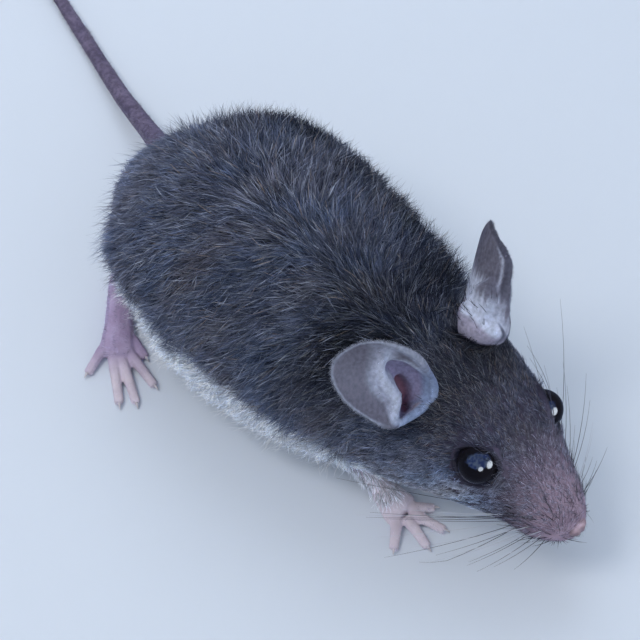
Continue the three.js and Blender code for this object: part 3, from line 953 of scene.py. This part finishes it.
class CoatPiece:
    def __init__(self):
        self.places, self.faces, self.uv, self.tint, self.tip = [], [], [], [], []
        self.used = 0
        self.triangles = 0

    def add(self, rows, shares, uv, tint):
        count, perTuft = rows.shape[:2]
        steps = len(shares) - 1
        first = self.used + np.arange(count) * perTuft
        patch = coat["patch"]
        for i in range(steps - 1):
            quad = np.array([2 * i, 2 * i + 1, 2 * i + 3, 2 * i + 2])
            square = np.array([(0, shares[i]), (1, shares[i]), (1, shares[i + 1]), (0, shares[i + 1])])
            for tri in ([0, 1, 2], [0, 2, 3]):
                self.faces.append(first[:, None] + quad[tri][None, :])
                self.uv.append(uv[:, None, :] + (square[tri][None] - 0.5) * patch)
        last = 2 * (steps - 1)
        self.faces.append(first[:, None] + np.array([last, last + 1, last + 2])[None, :])
        square = np.array([(0, shares[-2]), (1, shares[-2]), (0.5, 1)])
        self.uv.append(uv[:, None, :] + (square[None] - 0.5) * patch)
        tips = np.concatenate([np.repeat(shares[:-1], 2), [1.0]])
        self.places.append(rows.reshape(-1, 3))
        self.tip.append(np.tile(tips, count))
        self.tint.append(np.repeat(tint, perTuft, axis=0))
        self.used += count * perTuft
        self.triangles += count * (2 * steps - 1)

    def build(self, name, material):
        places = toScene(np.concatenate(self.places))
        faces = np.concatenate(self.faces).astype(np.int32)
        uv = np.concatenate(self.uv).astype(np.float32)
        mesh = bpy.data.meshes.new(name)
        mesh.vertices.add(len(places))
        mesh.vertices.foreach_set("co", places.astype(np.float32).ravel())
        mesh.loops.add(len(faces) * 3)
        mesh.loops.foreach_set("vertex_index", faces.ravel())
        mesh.polygons.add(len(faces))
        mesh.polygons.foreach_set("loop_start", np.arange(0, len(faces) * 3, 3, dtype=np.int32))
        mesh.update(calc_edges=True)
        layer = mesh.uv_layers.new(name="OFBake")
        layer.uv.foreach_set("vector", np.clip(uv, 0, 1).ravel())
        setAttribute(mesh, "tip", np.concatenate(self.tip))
        setAttribute(mesh, "tint", np.concatenate(self.tint))
        piece = newObject(name, mesh, material)
        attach(piece, "root")
        return piece


def coatMaterial():
    material, tree = newMaterial("coat")
    stops = [(place, grey(shade)) for place, shade in coat["rootToTip"]]
    # blades darken towards the root, partly their own colour and partly painted shade between the locks
    grown = ramp(tree, attribute(tree, "tip")["Fac"], stops)
    patchy = ramp(tree, noise(tree, 900), [(0.35, grey(0.82)), (0.65, grey(1.15))])
    colour = mixed(tree, 1.0, attribute(tree, "tint")["Color"], grown, "MULTIPLY")
    surface(tree, mixed(tree, 1.0, colour, patchy, "MULTIPLY"), 0.55, 0.04)
    return material


coatLook = coatMaterial()
coatPieces = [CoatPiece() for _ in range(coat["pieces"])]
tuftCount = 0


def zoneOf(corners, weights, values):
    return (values[corners] * weights).sum(axis=1)


def alongSkin(way, n):
    return unit(way - n * (way * n).sum(axis=1, keepdims=True))


def speckled(colour, spread, count):
    return np.array(colour) * np.exp(rng.normal(0, spread, count))[:, None]


# brown-black fur with grey and tan tips, lighter low on the flanks and on the cheeks; painted light on the
# near side of the rump, painted shade on the far side and over the brows
def darkTint(p, lockShade, lockBright):
    x, y, z = p.T
    count = len(p)
    crown = hump(y, -28, 5.5) * ease(z, 17, 21)
    nape = hump(y, -17, 6) * ease(z, 17, 23)
    cheek = hump(y, -29, 7) * fade(z, 11, 17)
    temple = hump(y, -29.5, 3) * hump(z, 18, 4)
    bridge = hump(y, -37.5, 2.2) * hump(x, 0, 2.2)
    # painted shadow: the band of fur just above each eye is pulled towards the dark brow tone
    brow = hump(y, -34, 4) * ease(z, 17, 20)
    # painted shade: on the far side of the body, turned from the light, the fur is darker, has fewer pale
    # tips and more of them tan
    farShade = ease(x, 1, 8) * ease(y, -20, -8)
    underEye = hump(y, -34, 3.5) * fade(z, 14, 17.5)
    # the rump is lighter only on its near side, as painted light on the side turned to the light
    light = (0.85 * fade(z, 10, 20) + 0.8 * ease(y, 9, 22) * (1 - 0.95 * ease(x, -4, 3)) + 2.0 * cheek
             + 3.7 * underEye - 0.85 * nape - 0.75 * farShade + 1.0 * temple + 0.16 * ripple(p, 12, 9)
             + 0.22 * ripple(p, 3.4, 10) + 0.28 * ripple(p, 1.5, 13))
    tone = np.array(coat["dark"]) * (1 + light)[:, None]
    tone = tone * (1 + np.array([0.10, -0.04, -0.16]) * ripple(p, 7, 21)[:, None])
    tone = tone * (1 + np.array([0.05, 0.03, -0.10]) * (cheek + underEye)[:, None])
    for name, share in (("crown", 0.95 * crown), ("brow", 0.6 * brow), ("bridge", 0.8 * bridge)):
        tone += (np.array(coat[name]) - tone) * share[:, None]
    tone *= np.exp(rng.normal(0, 0.32, count) + lockShade)[:, None]
    tipped = (1 + 1.4 * cheek + 0.9 * fade(y, -30, -24) + 0.5 * fade(z, 10, 18) - 0.75 * crown
              - 0.3 * nape - 0.5 * farShade)
    bright = rng.random(count) < lockBright * tipped
    silver = np.array(coat["silver"]) * (1 - 0.4 * crown)[:, None]
    tan = np.array(coat["tan"]) * (1 - 0.3 * crown)[:, None]
    share = (rng.uniform(0.3, 1.0, count) * bright)[:, None]
    warm = (rng.random(count) < 0.20 + 0.55 * crown + 0.2 * farShade)[:, None]
    return tone * (1 - share) + np.where(warm, tan, silver) * share


# values along the body, from nose to tail
bodyCoat = {
    "perLock": 10,
    "density": ([-46, -43, -38, -32, -26, -20, 30], [4.5, 7.0, 7.8, 7.8, 6.8, 4.6, 4.2]),
    "length": ([-46, -43, -38, -32, -27, -21, -14, 0, 12, 19, 26],
               [0.5, 0.8, 1.05, 1.4, 1.95, 3.1, 4.3, 4.8, 4.5, 3.7, 2.8]),
    "width": ([-46, -38, -30, -20, 0, 28], [0.045, 0.05, 0.065, 0.095, 0.115, 0.11]),
    "rise": ([-46, -38, -28, -18, 0, 14, 26], [0.30, 0.36, 0.44, 0.68, 0.80, 0.74, 0.52]),
    "spread": ([-40, -20], [0.20, 0.38]),
}


def growBody():  # locks of a few blades each on trunk, neck, head and legs
    global tuftCount
    density = np.interp(skinPoints[:, 1], *bodyCoat["density"]) * zones["body"] * (1 - skinMarks["lid"])
    density *= 1 - 0.5 * ease(-skinNormals[:, 2], 0.6, 0.9)
    roots, normals, _, _ = rootsOn(density)
    locks = len(roots)
    ways = lie(roots, normals)
    x, y, z = roots.T
    length = np.interp(y, *bodyCoat["length"]) * (0.80 + 0.20 * ease(z, 4, 12))
    width = np.interp(y, *bodyCoat["width"])
    rise = np.interp(y, *bodyCoat["rise"]) * (0.70 + 0.30 * ease(z, 12, 24)) - 0.06 * fade(z, 6, 11)
    pale = paleness(roots)
    rise = rise + 0.12 * ease(x, 1, 7) * ease(y, -18, -8)
    lockUv = uvAt(toScene(roots))
    lockSwing = rng.normal(0, 1, locks) * (0.30 + 0.14 * pale)
    lockShade = rng.normal(0, 0.26, locks)
    lockBright = 0.42 * rng.beta(0.8, 2.6, locks)
    lockLength = rng.uniform(0.8, 1.12, locks)
    lockRise = rng.normal(0, 0.12, locks)
    lockCurl = rng.normal(0, 0.22, locks)
    which = rng.integers(0, coat["pieces"], locks)
    for piece in range(coat["pieces"]):
        many = np.repeat(np.nonzero(which == piece)[0], bodyCoat["perLock"])
        count = len(many)
        n, t = normals[many], ways[many]
        b = np.cross(n, t)
        spread = np.interp(roots[many][:, 1], *bodyCoat["spread"])
        du, dv = rng.normal(0, 1, count) * spread, rng.normal(0, 1, count) * spread
        start = roots[many] + t * du[:, None] + b * dv[:, None]
        swing = lockSwing[many] + rng.normal(0, 0.13, count)
        way = unit(t * np.cos(swing)[:, None] + b * np.sin(swing)[:, None])
        long = length[many] * lockLength[many] * rng.uniform(0.72, 1.1, count)
        lift = rise[many] + lockRise[many] + rng.normal(0, 0.08, count)
        gather = -1.1 * dv / np.maximum(long, 0.6) + lockCurl[many] + rng.normal(0, 0.07, count)
        wide = width[many] * rng.uniform(0.65, 1.2, count)
        rows, shares = grownTufts(start, n, way, long, wide, lift, lift * 0.25 - 0.05, 3, gather)
        tint = darkTint(start, lockShade[many], lockBright[many])
        white = np.exp(rng.normal(0, 0.22, count) + 1.1 * lockShade[many])[:, None] * np.array(coat["white"])
        mix = np.clip(pale[many] + rng.normal(0, 0.08, count), 0, 1)[:, None]
        tint = tint * (1 - mix) + np.minimum(white, 0.9) * mix
        muzzle = (ease(-start[:, 1], 35, 42) * 0.8)[:, None]
        pinkish = speckled(coat["muzzle"], 0.38, count)
        tint = tint * (1 - muzzle) + pinkish * muzzle
        offset = np.stack([dv, du], axis=1) * 0.009
        coatPieces[piece].add(rows, shares, lockUv[many] + offset, tint)
        tuftCount += count


# single hairs on ears, feet and tail, and the longer ones that stand out of the coat
def growShort(zone, density, length, width, rise, tintOf, steps=2, wayOf=None, keep=None):
    global tuftCount
    roots, normals, corners, weights = rootsOn(zones[zone] * density)
    inZone = zoneOf(corners, weights, zones[zone]) > 0.6
    if keep is not None:
        inZone &= keep(roots, normals)
    roots, normals = roots[inZone], normals[inZone]
    count = len(roots)
    ways = (wayOf or lie)(roots, normals)
    swing = rng.normal(0, 0.25, count)
    across = np.cross(normals, ways)
    ways = unit(ways * np.cos(swing)[:, None] + across * np.sin(swing)[:, None])
    long = length * rng.uniform(0.6, 1.25, count)
    lift = rise + rng.normal(0, 0.12, count)
    wide = width * rng.uniform(0.7, 1.2, count)
    rows, shares = grownTufts(roots, normals, ways, long, wide, lift, lift * 0.3, steps,
                              rng.normal(0, 0.12, count))
    tint = tintOf(roots, normals, count)
    uv = uvAt(toScene(roots))
    which = rng.integers(0, coat["pieces"], count)
    for piece in range(coat["pieces"]):
        mine = which == piece
        coatPieces[piece].add(rows[mine], shares, uv[mine], tint[mine])
    tuftCount += count


def snoutWay(p, n):  # out and back from the whisker pads
    pads = np.stack([np.sign(p[:, 0]) * 2.2, np.full(len(p), -43.4), np.full(len(p), 10.0)], axis=1)
    way = unit(p - pads) + np.array([0, 0.55, 0])
    return alongSkin(way, n)


def snoutTint(p, n, count):
    dark = np.array([0.035, 0.032, 0.045])
    pale = np.array([0.42, 0.41, 0.50])
    light = rng.random(count) < 0.36
    tone = np.where(light[:, None], pale, dark)
    return speckled(tone, 0.3, count)


def padTint(p, n, count):  # short dark hairs among the whiskers
    return np.full((count, 3), 0.022)


def guardTint(p, n, count):
    tone = darkTint(p, 0.12, 0.22)
    return tone * (1 - paleness(p))[:, None] + 0.7 * paleness(p)[:, None]


def earHairTint(p, n, count):
    return speckled(earTint(p, n) * 1.2, 0.5, count)


def earOut(along, wide, side):  # towards the nearest edge of the ear
    middle, half = earSpan(along, side)
    return earHeight(along)[:, None] ** 3, ((middle - wide) / half)[:, None]


def overEars(steer):  # steer says how far along and how far towards the outer edge the hairs point
    def wayOf(p, n):
        way = np.zeros_like(p)
        for mine, side, along, wide, _, _ in eachEar(p, n):
            local = earFrames[side]
            up, aside = steer(along, wide, side)
            way[mine] = up * np.array(local.axis) + aside * local.sign * np.array(local.across)
        return alongSkin(way, n)
    return wayOf


def onEars(test):
    def keep(p, n):
        kept = np.zeros(len(p), bool)
        for mine, side, along, wide, _, hollow in eachEar(p, n):
            kept[mine] = test(along, wide, hollow, side)
        return kept
    return keep


earWay = overEars(lambda along, wide, side: (1, 0))
earSlant = overEars(lambda along, wide, side: (0.75, 0.75))
earOutwards = overEars(earOut)
atEarEdge = onEars(lambda along, wide, hollow, side: (earEdge(along, wide, side) > 0.95) & (along > 2))
behindEar = onEars(lambda along, wide, hollow, side:
                   (hollow < -0.1) & (along < 5) & (wide > -5) & (wide < 1.7))
atEarCrease = onEars(lambda along, wide, hollow, side:
                     (hollow < -0.1) & (np.abs(pastCrease(along, wide)) < 0.3) & (wide > -4) & (wide < 1.7))


def evenTint(colour, spread):
    return lambda p, n, count: speckled(colour, spread, count)


def footTint(p, n, count):
    tone = np.array([0.38, 0.33, 0.46]) + np.array([0.26, 0.25, 0.22]) * toeness(p)[:, None]
    return speckled(tone, 0.12, count)


def sideways(aside, back, up, wander=0):  # hairs that turn out on both sides
    def wayOf(p, n):
        turn = wander * ripple(p, 4.5, 31)
        return alongSkin(np.stack([np.sign(p[:, 0]) * aside, back + turn, up - turn], axis=1), n)
    return wayOf


earFringeTint = evenTint((0.26, 0.28, 0.34), 0.2)
earDarkTint = evenTint((0.03, 0.028, 0.036), 0.3)
hockTint = evenTint((0.40, 0.36, 0.50), 0.15)
cuffTint = evenTint((0.84, 0.87, 0.95), 0.2)  # white hair over the wrists
fringeTint = evenTint((0.761, 0.799, 0.885), 0.3)
footWay = sideways(0.5, -1.0, -0.15)
cuffWay = sideways(0.35, -0.75, -1.0)
fringeWay = sideways(0.5, 0.55, -0.75, wander=0.45)


def atForeleg(p, n):
    x, y, z = p.T
    return (y > -20.5) & (y < -13) & (np.abs(x) > 6.5) & (z < 8.5) & (z > 1)


def atFringe(p, n):
    y, z = p.T[1:]
    clump = ripple(p, 1.6, 32) > -0.25
    return (paleness(p) > 0.5) & (y > -19) & (y < 19) & (z > 3) & (np.abs(n[:, 0]) > 0.35) & clump


def aboveFringe(p, n):
    return (paleness(p) < 0.5) & (p[:, 1] > -19) & (p[:, 1] < 19) & (p[:, 2] < 17)


def tailTint(p, n, count):
    above = ease(n[:, 2], 0.0, 0.75)[:, None]
    tone = np.array([0.14, 0.12, 0.16]) * above + np.array([0.5, 0.49, 0.55]) * (1 - above)
    return speckled(tone, 0.2, count)


zones["body"] = 1 - np.maximum.reduce([zones["ear"], zones["foot"], zones["tail"]])
growBody()
growShort("body", density=20, length=1.3, width=0.036, rise=0.32, tintOf=snoutTint, steps=3, wayOf=snoutWay,
          keep=lambda p, n: (rng.random(len(p)) < ease(-p[:, 1], 35, 40)) & (p[:, 1] > -45.2))
growShort("body", density=5, length=5.4, width=0.045, rise=0.60, tintOf=guardTint, steps=3,
          keep=lambda p, n: (p[:, 1] > -20) & (p[:, 1] < 21) & (p[:, 2] > 8))
growShort("body", density=6, length=3.2, width=0.045, rise=0.55, tintOf=guardTint, steps=3,
          keep=lambda p, n: (p[:, 1] > 19) & (p[:, 2] > 8))
growShort("body", density=7, length=5.2, width=0.04, rise=0.85, tintOf=guardTint, steps=3,
          keep=lambda p, n: (p[:, 1] > -18) & (p[:, 0] > 2) & (p[:, 2] > 12))
growShort("body", density=2.2, length=2.6, width=0.065, rise=0.42, tintOf=padTint, steps=3, wayOf=snoutWay,
          keep=lambda p, n: (p[:, 1] < -38.5) & (p[:, 1] > -44.5) & (np.abs(p[:, 0]) > 1.2) & (p[:, 2] < 14))
print("body coat has", tuftCount, "tufts")
growShort("ear", density=34, length=0.40, width=0.045, rise=0.28, tintOf=earHairTint, wayOf=earWay)
growShort("ear", density=110, length=0.42, width=0.035, rise=0.20, tintOf=earFringeTint, wayOf=earOutwards,
          keep=atEarEdge)
growShort("ear", density=1.5, length=2.1, width=0.07, rise=0.18, tintOf=earDarkTint, steps=3, wayOf=earSlant,
          keep=behindEar)
growShort("ear", density=5, length=1.9, width=0.07, rise=0.16, tintOf=earDarkTint, steps=3, wayOf=earSlant,
          keep=atEarCrease)
growShort("foot", density=30, length=1.7, width=0.055, rise=0.36, tintOf=cuffTint, steps=3, wayOf=cuffWay,
          keep=lambda p, n: (p[:, 2] > 3.0) & (p[:, 1] < 0))
growShort("body", density=22, length=3.0, width=0.06, rise=0.40, tintOf=cuffTint, steps=3, wayOf=cuffWay,
          keep=atForeleg)
growShort("body", density=9, length=4.4, width=0.075, rise=0.42, tintOf=fringeTint, steps=3, wayOf=fringeWay,
          keep=atFringe)
growShort("body", density=3, length=4.6, width=0.075, rise=0.34, tintOf=guardTint, steps=3, wayOf=fringeWay,
          keep=aboveFringe)
growShort("foot", density=26, length=0.7, width=0.045, rise=0.14, tintOf=footTint, wayOf=footWay,
          keep=lambda p, n: (n[:, 2] > 0.0) & (p[:, 2] < 3.2))
growShort("foot", density=30, length=0.9, width=0.045, rise=0.14, tintOf=hockTint,
          keep=lambda p, n: (p[:, 2] > 1.5) & (p[:, 1] > 0))
growShort("tail", density=34, length=0.9, width=0.05, rise=0.2, tintOf=tailTint)
for i, grown in enumerate(coatPieces):
    grown.build(f"coat_{i + 1}", coatLook)
    print("coat piece", i + 1, "has", grown.triangles, "triangles")


def lightenSkin():  # fewer faces where the skin is nearly flat
    thin = skinPiece.modifiers.new("thin", "DECIMATE")
    thin.ratio = skin["kept"]
    bpy.context.view_layer.update()
    mesh = evaluated(skinPiece)
    skinPiece.modifiers.remove(thin)
    heavy = skinPiece.data
    skinPiece.data = mesh
    bpy.data.meshes.remove(heavy)
    mesh.name = "skin"
    print("skin keeps", len(mesh.polygons), "faces")


lightenSkin()

print("eyes, nose, claws and whiskers")


def eyeMaterial():
    material, tree = newMaterial("wet_eye")
    colour = blotched(tree, noise(tree, 300), (0.004, 0.004, 0.006), (0.010, 0.008, 0.010))
    surface(tree, colour, 0.04, 0.2, IOR=1.38)
    return material


eyeLook = eyeMaterial()
for side in sides:
    bm = bmesh.new()
    bmesh.ops.create_uvsphere(bm, u_segments=48, v_segments=32, radius=eyes["radius"] * mm)
    for v in bm.verts:  # the clear front bulges a little
        front = max(0, v.co.normalized().z)
        v.co *= 1 + 0.045 * front ** 3
    looking = eyeOut[side].to_track_quat("Z", "Y").to_matrix()
    bmesh.ops.rotate(bm, cent=(0, 0, 0), matrix=looking, verts=bm.verts)
    bmesh.ops.translate(bm, vec=eyeMiddle[side], verts=bm.verts)
    eyeball = newObject("eyeball_" + side, toMesh(bm, "eyeball"), eyeLook)
    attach(eyeball, "root")
    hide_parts("eye_" + side)


def nosePad():
    low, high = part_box("nose")
    bm = bmesh.new()
    bmesh.ops.create_uvsphere(bm, u_segments=40, v_segments=28, radius=1)
    for v in bm.verts:
        x, y, z = v.co
        wide = 1.35 * (1 + 0.12 * z)
        cleft = 0.22 * math.exp(-(x / 0.16) ** 2) * max(0, -y)
        nostril = 0.0
        for sign in (-1, 1):
            gap = ((x - sign * 0.62) / 0.2) ** 2 + ((z + 0.12 + 0.25 * (abs(x) - 0.6)) / 0.26) ** 2
            nostril += 0.42 * math.exp(-gap) * (y < 0)
        inward = 1 - cleft - nostril
        v.co = Vector((x * wide, y * 1.0 * inward, z * 1.12)) * mm
    centre = (low + high) / 2
    bmesh.ops.translate(bm, vec=centre + Vector((0, 0.1, 0)) * mm, verts=bm.verts)
    material, tree = newMaterial("nose_skin")
    place = node(tree, "TexCoord").outputs["Object"]
    grain = node(tree, "TexVoronoi", {"Vector": place, "Scale": 4200}).outputs["Distance"]
    bump = node(tree, "Bump", {"Height": grain, "Strength": 0.4, "Distance": 0.00008})
    colour = blotched(tree, noise(tree, 900, 3), (0.25, 0.17, 0.195), (0.39, 0.28, 0.305))
    surface(tree, colour, 0.4, 0.12, Normal=bump.outputs["Normal"])
    piece = newObject("nose_pad", toMesh(bm, "nose_pad"), material)
    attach(piece, "root")
    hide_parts("nose")


nosePad()

# tips of the toes, and where each toe comes from
claws = {
    "forefoot_right": {"palm": (-8.9, -25.6),
                       "tips": [(-13.1, -28.9), (-10, -31.6), (-6.9, -31.4), (-5.6, -28.5)]},
    "forefoot_left": {"palm": (9.1, -24.0),
                      "tips": [(13.2, -27.2), (10.2, -30), (7.1, -29.9), (5.7, -27)]},
}
hindTips = [(9.6, 1.2, 14.1, 3.7), (11, 0.7, 18.5, -0.5), (11.2, -0.2, 18.4, -2.6), (10.8, -1, 15.9, -4.8),
            (8.8, -1.3, 11.8, -3.5)]


def clawMaterial():
    material, tree = newMaterial("claw")
    surface(tree, blotched(tree, noise(tree, 1500), (0.50, 0.45, 0.46), (0.66, 0.61, 0.62)), 0.4, 0.12)
    return material


def toeList():
    toes = []
    for foot in claws.values():
        for tip in foot["tips"]:
            toes.append((foot["palm"], tip))
    for side, foot in hind.items():
        sign = sides[side]
        forward = np.array([sign * math.sin(foot["heading"]), -math.cos(foot["heading"])])
        outward = np.array([sign * math.cos(foot["heading"]), math.sin(foot["heading"])])
        for start, startOut, end, endOut in hindTips:
            heel = np.array(foot["heel"])
            knuckle = heel + forward * start + outward * startOut
            toes.append((knuckle, heel + forward * end + outward * endOut))
    return toes


def buildClaws():
    parts = []
    for start, tip in toeList():
        ahead = Vector((tip[0] - start[0], tip[1] - start[1], 0)).normalized()
        base = at(tip[0], tip[1], 0.55) - ahead * 0.15 * mm
        points = [base, base + (ahead * 0.30 + Vector((0, 0, 0.05))) * mm,
                  base + (ahead * 0.56 - Vector((0, 0, 0.08))) * mm,
                  base + (ahead * 0.74 - Vector((0, 0, 0.26))) * mm]
        parts.append(rod(points, [0.20 * mm, 0.15 * mm, 0.09 * mm, 0.03 * mm], 8))
    piece = newObject("claws", toMesh(joined(parts), "claws"), clawMaterial())
    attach(piece, "root")


buildClaws()


def buildWhiskers():
    draws = np.random.default_rng(4)
    parts = {"dark": [], "white": []}
    for sign in sides.values():
        for row in range(5):
            for column in range(5 if row < 4 else 4):
                root = np.array([sign * (2.9 + 0.22 * column - 0.10 * row), -42.6 + 1.1 * column,
                                 10.6 - 0.75 * row])
                long = (8 + 3.4 * column) * draws.uniform(0.8, 1.1)
                out = np.array([sign * (0.85 - 0.03 * row), 0.10 + 0.16 * column + draws.normal(0, 0.10),
                                0.42 - 0.26 * row + draws.normal(0, 0.07)])
                out /= np.linalg.norm(out)
                steps = 8
                path = []
                point = root.copy()
                for i in range(steps):
                    path.append(at(*point))
                    bend = np.array([0, 0.05, -0.035]) * i
                    way = out + bend
                    point = point + way / np.linalg.norm(way) * long / steps
                    point[2] = max(point[2], 0.4)
                radii = np.linspace(0.045, 0.010, steps) * mm
                tone = "white" if draws.random() < 0.4 else "dark"
                parts[tone].append(rod(path, radii, 5))
        for spot in ((4.1, -36.6, 20.2), (5.0, -35.4, 20.4)):
            root = np.array([sign * spot[0], spot[1], spot[2]])
            ways = [np.array([sign * 0.35, 0.45 + 0.08 * i, 0.75 - 0.05 * i]) for i in range(7)]
            path = [at(*(root + way * i * 1.1)) for i, way in enumerate(ways)]
            parts["dark"].append(rod(path, np.linspace(0.04, 0.012, 7) * mm, 5))
    tones = {"dark": (0.03, 0.03, 0.04), "white": (0.62, 0.64, 0.70)}
    for tone, bundle in parts.items():
        material, tree = newMaterial("whisker_" + tone)
        darker = [c * 0.8 for c in tones[tone]]
        surface(tree, blotched(tree, noise(tree, 120), darker, tones[tone]), 0.5, 0.06)
        piece = newObject("whiskers_" + tone, toMesh(joined(bundle), "whiskers"), material)
        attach(piece, "root")


buildWhiskers()

print("tufts in all", tuftCount)
